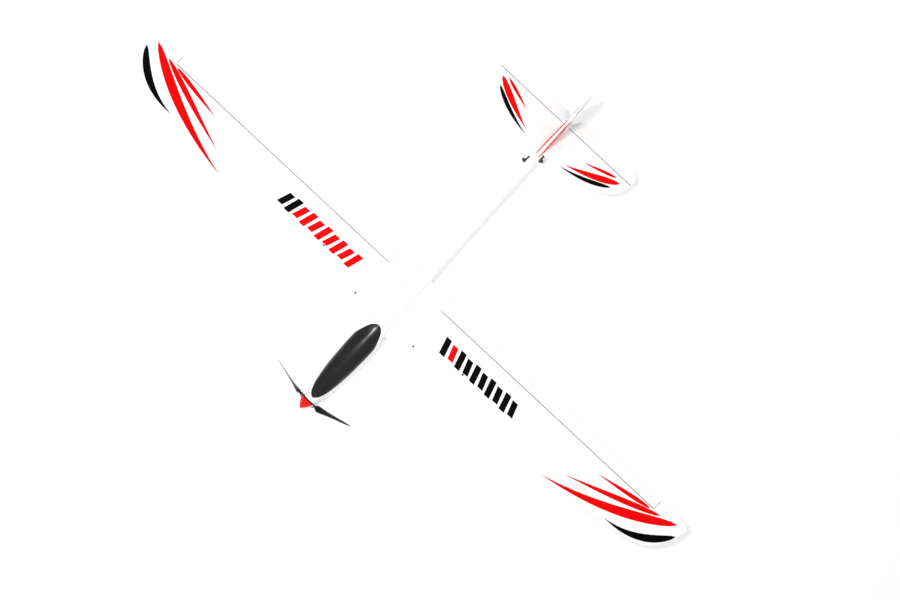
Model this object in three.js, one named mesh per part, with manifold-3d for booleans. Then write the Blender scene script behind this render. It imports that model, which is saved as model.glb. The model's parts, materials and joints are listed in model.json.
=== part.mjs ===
// A powered radio-controlled glider of 2 m span, as a scene graph of its separate pieces.
//
// Frame: millimetres, +Z up, nose towards -Y, left wing towards +X. Z = 0 is the flat of the belly that
// the glider lands on, and X = Y = 0 is the middle of its plan.
// Most lengths along the fuselage are "stations": millimetres forward of the gap in front of the ailerons.
import * as THREE from 'three';
import { mergeVertices } from 'three/addons/utils/BufferGeometryUtils.js';
import Module from 'manifold-3d';

const wasm = await Module();
wasm.setup();

// ---- driving dimensions -------------------------------------------------------------------------------
const HALF_SPAN = 1000;
const STATION_ZERO_Y = -122;
const WING_Z = 80; // the aileron hinge line, where it meets the centre plane
const DIHEDRAL = THREE.MathUtils.degToRad(2);
const GAP = 0.35; // between pieces that touch
const HINGE_GAP = 1.2; // in front of the ailerons and the elevator
const HULL_WALL = 2;

const WING_THICKNESS = 0.1; // of the chord
const WING_CAMBER = 0.03;
const AILERON = { hinge: -4.5, inner: 98, outer: 900, gap: 1.6 };
const SPAR = { station: 88, z: 2.5, radius: 4.5, from: 3, to: 285, screwAt: 263 };
const FRONT_PIN = { station: 125, z: 1, radius: 2.5, from: 8, to: 120, screwAt: 110 };

const ELEVATOR_HINGE = { station: -617, z: 84 };
const RUDDER_HINGE_STATION = -608;
const FIN_TOP = 267;

// The thrust line passes through this place, and points a little to the right and down.
const THRUST = { x: -2.2, station: 398, z: 47, right: 2.5, down: 3 };
const PROP = { ahead: 43, pivot: 21, bladeLength: 120, restFold: { left: 16, right: 9.5 } };

const AILERON_LINK = { plateX: 470, servoStation: 72, servoZ: -0.5, arm: 14 };
const ELEVATOR_LINK = { plateX: 24, servoStation: -497, servoZ: 67, arm: 12 };
const RUDDER_LINK = { plateX: 24, servoStation: -467, servoZ: 67, arm: 16, hornZ: 61 };
const PLATE = 2; // thickness of a servo arm or control horn
const WIRE = 0.7; // radius of a pushrod

const yOf = (station) => STATION_ZERO_Y - station;

// ---- materials ----------------------------------------------------------------------------------------
const paint = (color, roughness, metalness = 0) =>
  new THREE.MeshStandardMaterial({ color, roughness, metalness });
const foam = paint(0xf4f4f2, 0.75);
const hullPlastic = paint(0xf2f2f2, 0.35);
const canopyBlack = paint(0x1c1c1e, 0.25);
const blackPlastic = paint(0x161616, 0.45);
const spinnerRed = paint(0xe01818, 0.3);
const steel = paint(0xb8bcc0, 0.3, 1);
const aluminium = paint(0xc9ccd0, 0.35, 1);
const carbon = paint(0x222326, 0.4);
const plywood = paint(0xc8a878, 0.8);
const copper = paint(0xb06a3a, 0.4, 1);
const batteryWrap = paint(0x2b4a8c, 0.4);
const strapFabric = paint(0x202020, 0.9);
const receiverPlastic = paint(0x2a2a2e, 0.5);

// ---- solids: join, cut and move -------------------------------------------------------------------------
function solidOf(geometry) {
  const bare = new THREE.BufferGeometry()
    .setAttribute('position', geometry.getAttribute('position').clone());
  if (geometry.index) bare.setIndex(geometry.index.clone());
  const merged = mergeVertices(bare, 1e-4);
  return new wasm.Manifold(new wasm.Mesh({
    numProp: 3,
    vertProperties: new Float32Array(merged.attributes.position.array),
    triVerts: new Uint32Array(merged.index.array),
  }));
}

function geometryOf(solid) {
  const mesh = solid.getMesh();
  const geometry = new THREE.BufferGeometry()
    .setAttribute('position', new THREE.BufferAttribute(new Float32Array(mesh.vertProperties), 3))
    .setIndex(new THREE.BufferAttribute(new Uint32Array(mesh.triVerts), 1));
  geometry.computeVertexNormals();
  return geometry;
}

const combine = (how) => (first, ...others) =>
  geometryOf(others.map(solidOf).reduce((made, other) => made[how](other), solidOf(first)));
const cut = combine('subtract');
const join = combine('add');
const overlap = combine('intersect');

const moved = (geometry, x, y, z) => geometry.clone().translate(x, y, z);
const mirrored = (geometry) => {
  const loose = geometry.index ? geometry.toNonIndexed() : geometry;
  const bare = mergeVertices(new THREE.BufferGeometry()
    .setAttribute('position', loose.getAttribute('position').clone()));
  bare.scale(-1, 1, 1);
  bare.index.array.reverse();
  return bare;
};

// A box given by its lowest and highest corners.
function block(x0, y0, z0, x1, y1, z1) {
  return new THREE.BoxGeometry(x1 - x0, y1 - y0, z1 - z0)
    .translate((x0 + x1) / 2, (y0 + y1) / 2, (z0 + z1) / 2);
}

// A round bar between two points.
function bar(from, to, radius, sides = 12) {
  const a = new THREE.Vector3(...from);
  const b = new THREE.Vector3(...to);
  const along = b.clone().sub(a);
  const turn = new THREE.Quaternion().setFromUnitVectors(
    new THREE.Vector3(0, 1, 0), along.clone().normalize());
  return new THREE.CylinderGeometry(radius, radius, along.length(), sides)
    .applyQuaternion(turn)
    .translate(...a.add(b).multiplyScalar(0.5).toArray());
}

// A plate of a flat outline, lying in the YZ plane and centred on x.
function plateYZ(outline, x, thickness) {
  const shape = new THREE.Shape(outline.map(([y, z]) => new THREE.Vector2(y, z)));
  const plate = new THREE.ExtrudeGeometry(shape, { depth: thickness, bevelEnabled: false });
  return plate.applyMatrix4(new THREE.Matrix4().set(
    0, 0, 1, x - thickness / 2,
    1, 0, 0, 0,
    0, 1, 0, 0,
    0, 0, 0, 1));
}

// A skin through rings of equal point count, closed at both ends by strips from side to side.
function loft(rings) {
  const count = rings[0].length;
  const points = rings.flat().flatMap((p) => [p.x, p.y, p.z]);
  const faces = [];
  for (let r = 0; r + 1 < rings.length; r++) {
    for (let i = 0; i < count; i++) {
      const a = r * count + i;
      const b = r * count + (i + 1) % count;
      faces.push(a, b, a + count, b, b + count, a + count);
    }
  }
  const last = (rings.length - 1) * count;
  for (let i = 0; i + 1 < count - 1 - i; i++) {
    const j = count - 1 - i;
    const quad = i + 1 === j - 1 ? [[i, j, i + 1]] : [[i, j, i + 1], [i + 1, j, j - 1]];
    for (const [a, b, c] of quad) {
      faces.push(a, b, c);
      faces.push(last + a, last + c, last + b);
    }
  }
  const volume = signedVolume(points, faces);
  if (volume < 0) faces.reverse();
  return new THREE.BufferGeometry()
    .setAttribute('position', new THREE.Float32BufferAttribute(points, 3))
    .setIndex(faces);
}

function signedVolume(points, faces) {
  const corner = (i) => new THREE.Vector3().fromArray(points, 3 * i);
  let sum = 0;
  for (let f = 0; f < faces.length; f += 3) {
    sum += corner(faces[f]).dot(corner(faces[f + 1]).cross(corner(faces[f + 2])));
  }
  return sum / 6;
}

// A smooth curve through hand-chosen rows of three numbers.
const through = (rows, kind = 'centripetal') =>
  new THREE.CatmullRomCurve3(rows.map((row) => new THREE.Vector3(...row)), false, kind);

// The place on a curve where one of its coordinates has a value.
function findOn(curve, axis, value) {
  const rising = curve.getPoint(1)[axis] > curve.getPoint(0)[axis];
  let low = 0;
  let high = 1;
  for (let i = 0; i < 40; i++) {
    const middle = (low + high) / 2;
    if (curve.getPoint(middle)[axis] < value === rising) low = middle;
    else high = middle;
  }
  return curve.getPoint((low + high) / 2);
}

// ---- the object -----------------------------------------------------------------------------------------
const glider = new THREE.Group();

function piece(name, geometry, material, parent = glider) {
  const mesh = new THREE.Mesh(geometry, material);
  mesh.name = name;
  parent.add(mesh);
  return mesh;
}

// ---- the group of the power train ------------------------------------------------------------------------
const power = new THREE.Group();
power.position.set(THRUST.x, yOf(THRUST.station), THRUST.z);
power.rotation.set(
  THREE.MathUtils.degToRad(THRUST.down), 0, -THREE.MathUtils.degToRad(THRUST.right), 'ZYX');
power.updateMatrixWorld(true);
const thrustPoint = (ahead) => new THREE.Vector3(0, -ahead, 0).applyMatrix4(power.matrixWorld);

// ---- fuselage hull ----------------------------------------------------------------------------------------
// Each row is [station, half width, height of the widest line], and [station, top, bottom].
const HULL_WIDTH = [
  [434, 20, 46], [406, 27.5, 45.5], [366, 33, 46], [310, 38, 50], [255, 40.6, 56], [205, 39.2, 62],
  [168, 33, 66], [130, 26.5, 70], [70, 24.5, 72], [0, 23, 70], [-80, 21, 68], [-190, 18.5, 67],
  [-320, 16.3, 67.5], [-460, 14, 67.5], [-600, 10.5, 69],
];
const HULL_HEIGHT = [
  [434, 66, 27], [406, 74, 16.5], [366, 83, 7.5], [310, 92, 0], [255, 98, -2.5], [205, 100, -2.5],
  [168, 99.8, -1.5], [130, 99.4, 1.5], [70, 98.6, 9], [0, 96.5, 21], [-80, 92, 34], [-190, 88.5, 45],
  [-320, 85.5, 51], [-460, 83, 54], [-600, 81, 58],
];
// Each section is a superellipse, and its upper half is squarer where the hull carries the wings.
const HULL_POWER = { round: 2.3, saddle: 4.6, squareFrom: [205, 150], squareTo: [-20, -120] };
const hullWidth = through(HULL_WIDTH, 'catmullrom');
const hullHeight = through(HULL_HEIGHT, 'catmullrom');

function hullSection(station) {
  const { y: halfWidth, z: middle } = findOn(hullWidth, 'x', station);
  const { y: top, z: bottom } = findOn(hullHeight, 'x', station);
  const { round, saddle, squareFrom, squareTo } = HULL_POWER;
  const square = (1 - THREE.MathUtils.smoothstep(station, squareFrom[1], squareFrom[0]))
    * THREE.MathUtils.smoothstep(station, squareTo[1], squareTo[0]);
  return { station, halfWidth, middle, top, bottom, power: round + (saddle - round) * square };
}

function hullRing(section, grow, sides, lowest = -Infinity) {
  return Array.from({ length: sides }, (_, i) => {
    const a = (i / sides) * 2 * Math.PI;
    const power = 2 / (Math.sin(a) > 0 ? section.power : HULL_POWER.round);
    const across = Math.sign(Math.cos(a)) * Math.abs(Math.cos(a)) ** power;
    const up = Math.sign(Math.sin(a)) * Math.abs(Math.sin(a)) ** power;
    const reach = grow + (up > 0 ? section.top - section.middle : section.middle - section.bottom);
    return new THREE.Vector3(
      across * (section.halfWidth + grow), yOf(section.station),
      Math.max(section.middle + up * reach, lowest));
  });
}

// The hull's shape, grown outwards (or inwards, if negative), between two stations.
function hullShape(grow, front, rear, sides, steps, lowest) {
  const stations = Array.from({ length: steps + 1 },
    (_, i) => front + (rear - front) * (i / steps) ** 1.25);
  return loft(stations.map((station) => hullRing(hullSection(station), grow, sides, lowest)));
}

const NOSE = 434;
const TAIL = -600;
const HULL_SIDES = 36;
const HULL_STEPS = 36;
const hullOuter = hullShape(0, NOSE, TAIL, HULL_SIDES, HULL_STEPS);
const hullClearance = hullShape(GAP, NOSE + GAP, TAIL - GAP, HULL_SIDES, HULL_STEPS);
const hullCavity = hullShape(-HULL_WALL, NOSE - 3, TAIL + 8, 16, 16, HULL_WALL);

// The canopy's plan: [station, half width, crest height].
const CANOPY_ROWS = [
  [421.5, 1.2, 71.5], [419.2, 5, 72.2], [414, 10.6, 73.6], [408, 14.6, 75.4], [401, 17.6, 77.3],
  [386, 22.8, 81.5], [356, 28.6, 88.5], [311, 33.4, 96], [256, 35.7, 102.3], [213, 36.1, 103.6],
  [203, 35, 103.5], [190, 31.2, 103.2], [175, 25.8, 102.5], [160, 19.4, 101.7], [151, 12, 101],
  [147, 6, 100.6], [145.4, 1.2, 100.4],
];
const canopyPlan = through(CANOPY_ROWS);
const CANOPY_WALL = 1.8;
const CANOPY_STEPS = 32;

function sillHeight(station, halfWidth) {
  const s = hullSection(station);
  const across = Math.min(halfWidth / s.halfWidth, 1) ** s.power;
  return s.middle + (s.top - s.middle) * (1 - across) ** (1 / s.power);
}

// One section of the canopy: round in front, with a crease along its crest towards the rear.
function canopyRing(t, inset, floor) {
  const { x: station, y: halfWidth, z: crest } = canopyPlan.getPoint(t);
  const base = sillHeight(station, halfWidth) - floor;
  const crease = 0.34 * THREE.MathUtils.smoothstep(t, 0.42, 0.75);
  const arc = 16;
  return Array.from({ length: arc + 1 }, (_, i) => {
    const a = (i / arc) * Math.PI;
    const width = Math.max(halfWidth - inset, 0.4);
    const height = Math.max(crest - inset - base, 1);
    const up = (1 - crease) * Math.sin(a) + crease * (1 - Math.abs(Math.cos(a)));
    return new THREE.Vector3(width * Math.cos(a), yOf(station), base + height * up);
  });
}

function canopyShape(inset, floor) {
  const steps = Array.from({ length: CANOPY_STEPS + 1 }, (_, i) => i / CANOPY_STEPS);
  return loft(steps.map((t) => canopyRing(t, inset, floor)));
}

// An upright prism over the canopy's plan.
function canopyPrism(grow, low, high) {
  const side = Array.from({ length: CANOPY_STEPS + 1 },
    (_, i) => canopyPlan.getPoint(i / CANOPY_STEPS));
  const edge = [
    ...side.map((p) => [p.y + grow, p.x]),
    ...side.reverse().map((p) => [-p.y - grow, p.x]),
  ];
  const shape = new THREE.Shape(edge.map(([x, station]) => new THREE.Vector2(x, yOf(station))));
  return new THREE.ExtrudeGeometry(shape, { depth: high - low, bevelEnabled: false })
    .translate(0, 0, low);
}

// ---- wing -----------------------------------------------------------------------------------------------
// Plan of one half: [distance from the centre, leading edge station, trailing edge station].
const WING_PLAN = [
  [16, 160, -40], [300, 160, -39], [500, 155.5, -37], [650, 146, -35], [800, 131, -33], [890, 116, -32],
  [940, 98, -31], [973, 68, -30], [992, 32, -28], [HALF_SPAN, -4, -21],
];
const wingPlan = through(WING_PLAN);

const halfThickness = (c) => 5 * WING_THICKNESS
  * (0.2969 * Math.sqrt(c) - 0.126 * c - 0.3516 * c ** 2 + 0.2843 * c ** 3 - 0.1036 * c ** 4);
const CAMBER_AT = 0.4;
const meanLine = (c) => (c < CAMBER_AT
  ? (WING_CAMBER / CAMBER_AT ** 2) * (2 * CAMBER_AT * c - c * c)
  : (WING_CAMBER / (1 - CAMBER_AT) ** 2) * (1 - 2 * CAMBER_AT + 2 * CAMBER_AT * c - c * c));
const TRAILING_EDGE = 0.7; // half its thickness
const TIP_RISE = 12; // of the turned-up wing tip

// A section of the wing. Its mean line crosses z = 0 at the aileron's hinge, so that hinge is straight.
function wingSection({ x, y: leading, z: trailing }) {
  const chord = leading - trailing;
  const hinge = THREE.MathUtils.clamp((leading - AILERON.hinge) / chord, 0, 0.8);
  const out = THREE.MathUtils.clamp((x - AILERON.outer) / (HALF_SPAN - AILERON.outer), 0, 1);
  const rise = TIP_RISE * out ** 2;
  const surface = (c, side) => {
    const half = Math.max(halfThickness(c) * chord, 0) + TRAILING_EDGE * c;
    return (meanLine(c) - meanLine(hinge)) * chord + side * half + rise;
  };
  return { x, leading, chord, surface, station: (c) => leading - c * chord };
}

const wingAt = (x) => wingSection(findOn(wingPlan, 'x', x));

function wingRing(section) {
  const perSide = 14;
  const along = Array.from({ length: perSide + 1 },
    (_, i) => 0.5 * (1 + Math.cos((i / perSide) * Math.PI)));
  const point = (c, side) =>
    new THREE.Vector3(section.x, yOf(section.station(c)), section.surface(c, side));
  return [
    ...along.map((c) => point(c, 1)),
    ...along.slice(0, -1).reverse().map((c) => point(c, -1)),
  ];
}

function wingPanel() {
  const steps = 36;
  return loft(Array.from({ length: steps + 1 },
    (_, i) => wingRing(wingSection(wingPlan.getPoint(i / steps)))));
}

// Half the thickness at the hinge line, which is the radius of the aileron's round front.
function hingeRadius(x) {
  const section = wingAt(x);
  const c = (section.leading - AILERON.hinge) / section.chord;
  return (section.surface(c, 1) - section.surface(c, -1)) / 2;
}

function aileronRing(x) {
  const section = wingAt(x);
  const radius = hingeRadius(x);
  const front = Array.from({ length: 7 }, (_, i) => {
    const a = Math.PI / 2 + (i / 6) * Math.PI;
    return [AILERON.hinge - radius * Math.cos(a), radius * Math.sin(a)];
  });
  const c = (section.leading - AILERON.hinge) / section.chord;
  const back = [c + (1 - c) / 2, 1];
  const lower = back.map((at) => [section.station(at), section.surface(at, -1)]);
  const upper = back.map((at) => [section.station(at), section.surface(at, 1)]).reverse();
  return [...upper, ...front, ...lower].map(([station, z]) => new THREE.Vector3(x, yOf(station), z));
}

function aileronBody() {
  const from = AILERON.inner + AILERON.gap;
  const to = AILERON.outer - AILERON.gap;
  const steps = 9;
  return loft(Array.from({ length: steps + 1 },
    (_, i) => aileronRing(from + ((to - from) * i) / steps)));
}

// The bay behind the wing that the aileron turns in.
function aileronBay() {
  const ends = [AILERON.inner, AILERON.outer];
  return loft(ends.map((x) => {
    const front = AILERON.hinge + hingeRadius(x) + HINGE_GAP;
    return [[-70, -30], [-70, 30], [front, 30], [front, -30]]
      .map(([station, z]) => new THREE.Vector3(x, yOf(station), z));
  }));
}

// ---- servos and linkages ------------------------------------------------------------------------------
// A 9 g servo lying on its side. Its output shaft is on the X axis and ends at x = 0, with the case behind.
const SERVO = {
  boss: 4, height: 22.5, width: 12, front: 6, back: 17, ear: 4.5, earAt: 9.5, earThick: 2.5,
};

function servoCase(grow = 0) {
  const half = SERVO.width / 2 + grow;
  const body = block(-SERVO.boss - SERVO.height - grow, -SERVO.front - grow, -half,
    -SERVO.boss + grow, SERVO.back + grow, half);
  const ears = block(-SERVO.earAt - SERVO.earThick - grow, -SERVO.front - SERVO.ear - grow, -half,
    -SERVO.earAt + grow, SERVO.back + SERVO.ear + grow, half);
  const boss = bar([-SERVO.boss - 1, 0, 0], [grow, 0, 0], half - 0.3, 16);
  return join(body, ears, boss);
}

// An arm that hangs from the output shaft, with a hole at its end. x = 0 is the end of the shaft.
function servoArm(length) {
  const hub = bar([GAP, 0, 0], [3.4, 0, 0], 3.6, 14);
  const foot = -length - 2.4;
  const outline = [[-2.9, 0], [-1.9, foot + 0.8], [-1, foot], [1, foot], [1.9, foot + 0.8], [2.9, 0]];
  const blade = plateYZ(outline, 2.4, PLATE);
  const hole = bar([-1, 0, -length], [6, 0, -length], WIRE + 0.5, 10);
  return cut(join(hub, blade), hole);
}

// A wire from one hole to another along Y, with both ends turned through the plates at x = 0.
function pushrod(to, side = 3.4) {
  const parts = [
    bar([-2.4, 0, 0], [side, 0, 0], WIRE, 8),
    bar([side, 0, 0], [side + to.x, to.y, to.z], WIRE, 8),
    bar([side + to.x, to.y, to.z], [to.x - 2.4, to.y, to.z], WIRE, 8),
    moved(new THREE.SphereGeometry(WIRE * 1.15, 8, 6), side, 0, 0),
    moved(new THREE.SphereGeometry(WIRE * 1.15, 8, 6), side + to.x, to.y, to.z),
  ];
  return join(...parts);
}

// A horn under a hinged surface of a given radius. The origin is the hinge, and its hole is straight below,
// at the length of the servo's arm.
function controlHorn(length, radius) {
  const outline = [
    [3, -radius + 0.2], [15, -radius + 2.6 - GAP * 4], [15, -radius - 1.2], [3.2, -length - 0.8],
    [1.6, -length - 2.4], [-1.6, -length - 2.4], [-2.6, -length], [-1.2, -length + 3.5],
  ];
  const hole = bar([-5, 0, -length], [5, 0, -length], WIRE + 0.5, 10);
  return cut(plateYZ(outline, 0, PLATE), hole);
}

// ---- half wing: everything that comes off with one wing ---------------------------------------------
const placeHalf = new THREE.Group();
placeHalf.rotation.y = -DIHEDRAL;
placeHalf.position.z = WING_Z;
placeHalf.updateMatrixWorld(true);
const intoHalf = placeHalf.matrixWorld.clone().invert();

const spar = (grow = 0) => bar([SPAR.from, yOf(SPAR.station), SPAR.z],
  [SPAR.to + grow, yOf(SPAR.station), SPAR.z], SPAR.radius + grow, 16);
const frontPin = (grow = 0) => bar([FRONT_PIN.from, yOf(FRONT_PIN.station), FRONT_PIN.z],
  [FRONT_PIN.to + grow, yOf(FRONT_PIN.station), FRONT_PIN.z], FRONT_PIN.radius + grow, 12);

// A countersunk screw down through the wing's top skin onto a rod.
const SCREW = { head: 3, shank: 1.3, headHeight: 1.8 };
function wingScrew(rod, grow = 0) {
  const section = wingAt(rod.screwAt);
  const c = (section.leading - rod.station) / section.chord;
  const top = section.surface(c, 1) - 0.4;
  const foot = rod.z + rod.radius + GAP * 2;
  const y = yOf(rod.station);
  const at = (z) => [rod.screwAt, y, z];
  const head = bar(at(top - SCREW.headHeight), at(top + 4 * grow), SCREW.head + grow, 14);
  const shank = bar(at(foot - grow), at(top - 1), SCREW.shank + grow, 10);
  return join(head, shank);
}

const aileronServoX = AILERON_LINK.plateX - 2.4; // the end of the servo's output shaft
function aileronServo(grow = 0) {
  return servoCase(grow).rotateX(Math.PI)
    .translate(aileronServoX, yOf(AILERON_LINK.servoStation), AILERON_LINK.servoZ);
}

function wing() {
  const x = aileronServoX;
  const y = yOf(AILERON_LINK.servoStation);
  const room = 0.5;
  const top = AILERON_LINK.servoZ + SERVO.width / 2 + room;
  const pocket = block(x - SERVO.boss - SERVO.height - room, y - SERVO.back - room, -25,
    x - SERVO.boss + room, y + SERVO.front + room, top);
  const earSlot = block(
    x - SERVO.earAt - SERVO.earThick - room, y - SERVO.back - SERVO.ear - room, -25,
    x - SERVO.earAt + room, y + SERVO.front + SERVO.ear + room, top);
  const armSlot = block(x - SERVO.boss, y - 11, -25, x + 8, y + 11, top);
  const hull = hullClearance.clone().applyMatrix4(intoHalf);
  return cut(wingPanel(), hull, aileronBay(), spar(GAP), frontPin(GAP), wingScrew(SPAR, GAP),
    wingScrew(FRONT_PIN, GAP), pocket, earSlot, armSlot);
}

const hornX = AILERON_LINK.plateX;
const hornRadius = hingeRadius(hornX);

function halfWing(side) {
  const half = new THREE.Group();
  half.rotation.copy(placeHalf.rotation);
  half.position.copy(placeHalf.position);
  const whole = new THREE.Group();
  if (side === 'right') whole.scale.x = -1;
  whole.add(half);
  glider.add(whole);

  piece(`wing_${side}`, wing(), foam, half);
  piece(`aileron_${side}`, cut(aileronBody(), aileronHornSlot()), foam, half);
  piece(`spar_${side}`, spar(), carbon, half);
  piece(`front_pin_${side}`, frontPin(), carbon, half);
  piece(`spar_screw_${side}`, wingScrew(SPAR), blackPlastic, half);
  piece(`front_pin_screw_${side}`, wingScrew(FRONT_PIN), blackPlastic, half);
  piece(`aileron_servo_${side}`, aileronServo(), blackPlastic, half);

  const arm = piece(`aileron_servo_arm_${side}`, servoArm(AILERON_LINK.arm), blackPlastic, half);
  arm.position.set(aileronServoX, yOf(AILERON_LINK.servoStation), AILERON_LINK.servoZ);
  const horn = piece(`aileron_horn_${side}`, controlHorn(AILERON_LINK.arm, hornRadius), blackPlastic, half);
  horn.position.set(hornX, yOf(AILERON.hinge), 0);
  const reach = new THREE.Vector3(0, AILERON_LINK.servoStation - AILERON.hinge, -AILERON_LINK.servoZ);
  const rod = piece(`aileron_pushrod_${side}`, pushrod(reach), steel, half);
  rod.position.set(hornX, yOf(AILERON_LINK.servoStation), AILERON_LINK.servoZ - AILERON_LINK.arm);
}

function aileronHornSlot() {
  return block(hornX - PLATE / 2 - GAP, yOf(AILERON.hinge - 2), -30,
    hornX + PLATE / 2 + GAP, yOf(AILERON.hinge - 15.5), -hornRadius + 3);
}

halfWing('left');
halfWing('right');

// ---- tail -----------------------------------------------------------------------------------------------
// Plan of one half of the stabilizer: [distance from the centre, leading edge station, half thickness].
const STAB_PLAN = [
  [0, -510, 4.5], [60, -511, 4.4], [120, -517, 4.2], [170, -529, 4], [210, -547, 3.7], [236, -572, 3.3],
  [247, -596, 2.6],
];
const stabPlan = through(STAB_PLAN);
const ELEVATOR = {
  reach: 249, trailing: -648, notch: 24, bridge: 12, radius: 3.9, hornX: ELEVATOR_LINK.plateX,
};

// A flat-sided section with a round leading edge, and its rear edge cut square in front of the hinge.
function slabRing(place, leading, rear, half) {
  const nose = Math.min(half * 2.4, Math.abs(leading - rear) * 0.6);
  const arc = Array.from({ length: 7 }, (_, i) => {
    const a = Math.PI / 2 + (i / 6) * Math.PI;
    return [leading - nose - nose * Math.cos(a), half * Math.sin(a)];
  });
  return [[rear, half * 0.86], ...arc, [rear, -half * 0.86]]
    .map(([station, side]) => place(station, side));
}

function stabShape(grow = 0) {
  const steps = 14;
  const rings = [];
  for (let i = -steps; i <= steps; i++) {
    const { x, y: leading, z: half } = stabPlan.getPoint(Math.abs(i) / steps);
    rings.push(slabRing(
      (station, z) => new THREE.Vector3(Math.sign(i) * x, yOf(station), ELEVATOR_HINGE.z + z),
      leading + grow, ELEVATOR_HINGE.station + ELEVATOR.radius + HINGE_GAP - grow, half + grow));
  }
  return loft(rings);
}

// The elevator's section at a distance from the centre: a round front on the hinge and a thin rear edge.
function elevatorRing(x) {
  const radius = ELEVATOR.radius * (0.6 + 0.4 * Math.sqrt(Math.max(1 - (x / ELEVATOR.reach) ** 2, 0)));
  const out = THREE.MathUtils.clamp((Math.abs(x) - (ELEVATOR.reach - 26)) / 26, 0, 1);
  const trailing = ELEVATOR.trailing + 20 * (1 - Math.sqrt(Math.max(1 - out ** 2, 0)));
  const front = Array.from({ length: 7 }, (_, i) => {
    const a = Math.PI / 2 + (i / 6) * Math.PI;
    return [ELEVATOR_HINGE.station - radius * Math.cos(a), radius * Math.sin(a)];
  });
  return [[trailing, TRAILING_EDGE], ...front, [trailing, -TRAILING_EDGE]]
    .map(([station, z]) => new THREE.Vector3(x, yOf(station), ELEVATOR_HINGE.z + z));
}

function elevatorBody() {
  const places = [];
  for (let i = -11; i <= 11; i++) {
    places.push(ELEVATOR.reach * Math.sin((i / 11) * Math.PI * 0.49));
  }
  const notch = new THREE.Shape([
    [-16, ELEVATOR_HINGE.station - ELEVATOR.bridge], [16, ELEVATOR_HINGE.station - ELEVATOR.bridge],
    [ELEVATOR.notch + 3, ELEVATOR.trailing - 4], [-ELEVATOR.notch - 3, ELEVATOR.trailing - 4],
  ].map(([x, station]) => new THREE.Vector2(x, yOf(station))));
  const opening = new THREE.ExtrudeGeometry(notch, { depth: 40, bevelEnabled: false })
    .translate(0, 0, ELEVATOR_HINGE.z - 20);
  const hornSlot = block(ELEVATOR.hornX - PLATE / 2 - GAP, yOf(ELEVATOR_HINGE.station - 2), 50,
    ELEVATOR.hornX + PLATE / 2 + GAP, yOf(ELEVATOR_HINGE.station - 15.5), ELEVATOR_HINGE.z - 0.9);
  return cut(loft(places.map(elevatorRing)), opening, hornSlot);
}

// Side view of the fin: [height, leading edge station, half thickness].
const FIN_SIDE = [
  [81, -487, 8.2], [96, -496, 8.2], [130, -521, 7.7], [170, -546, 6.9], [210, -569, 6.1], [240, -586, 5.2],
  [FIN_TOP, -602, 4],
];
// Side view of the rudder: [height, trailing edge station, half thickness at its front].
const RUDDER_SIDE = [
  [58, -672, 5.6], [70, -686, 6.8], [100, -696, 7], [150, -703, 6.5], [200, -706, 5.8], [238, -704, 5],
  [256, -696, 4.4], [268, -680, 3.8], [272, -656, 3.3], [272.6, -636, 3],
];
const finSide = through(FIN_SIDE);
const rudderSide = through(RUDDER_SIDE);

function finShape() {
  const steps = 14;
  return loft(Array.from({ length: steps + 1 }, (_, i) => {
    const { x: height, y: leading, z: half } = finSide.getPoint(i / steps);
    return slabRing((station, side) => new THREE.Vector3(side, yOf(station), height),
      leading, RUDDER_HINGE_STATION + half + 0.6, half);
  }));
}

function rudderRing({ x: height, y: trailing, z: half }) {
  const front = Array.from({ length: 7 }, (_, i) => {
    const a = Math.PI / 2 + (i / 6) * Math.PI;
    return [RUDDER_HINGE_STATION - half * Math.cos(a), half * Math.sin(a)];
  });
  return [[trailing, TRAILING_EDGE], ...front, [trailing, -TRAILING_EDGE]]
    .map(([station, side]) => new THREE.Vector3(side, yOf(station), height));
}

function rudderBody() {
  const steps = 18;
  const blade = loft(Array.from({ length: steps + 1 },
    (_, i) => rudderRing(rudderSide.getPoint(i / steps))));
  const bridgeRoom = block(-20, yOf(RUDDER_HINGE_STATION + 8), ELEVATOR_HINGE.z - 10,
    20, yOf(RUDDER_HINGE_STATION - 27), ELEVATOR_HINGE.z + 10);
  const horn = RUDDER_LINK.hornZ;
  const hornSlot = block(-20, yOf(RUDDER_HINGE_STATION - 3 + GAP), horn - PLATE / 2 - GAP,
    -1.4, yOf(RUDDER_HINGE_STATION - 15 - GAP), horn + PLATE / 2 + GAP);
  return cut(blade, bridgeRoom, hornSlot);
}

// The rudder's horn is level, on the right-hand side, and its slot lets the pushrod swing sideways.
function rudderHorn() {
  const { arm, hornZ } = RUDDER_LINK;
  const outline = [
    [-1.8, 3], [-1.8, 15], [-5, 15], [-arm - 1, 3], [-arm - 3.6, 1.6], [-arm - 3.6, -2], [-arm - 2, -3],
    [-arm + 3.2, -2.4], [-7, 3],
  ];
  const shape = new THREE.Shape(outline.map(([x, y]) => new THREE.Vector2(x, y)));
  const plate = new THREE.ExtrudeGeometry(shape, { depth: PLATE, bevelEnabled: false })
    .translate(0, 0, -PLATE / 2);
  const slot = block(-arm - 1.9, -WIRE - 0.5, -3, -arm + 2.3, WIRE + 0.5, 3);
  return cut(plate, slot).translate(0, yOf(RUDDER_HINGE_STATION), hornZ);
}

// Two screws come up through the boom and the stabilizer into the fin.
const TAIL_SCREWS = { front: { station: -525, bottom: 55.2 }, rear: { station: -585, bottom: 57.2 } };
function tailScrew({ station, bottom }, grow = 0) {
  const y = yOf(station);
  return join(
    bar([0, y, bottom - 1.6 - 20 * grow], [0, y, bottom + 0.6 + grow], 3 + grow, 14),
    bar([0, y, bottom], [0, y, 108 + grow], 1.5 + grow, 10));
}

const tailScrewHoles = Object.values(TAIL_SCREWS).map((screw) => tailScrew(screw, GAP));

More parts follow.
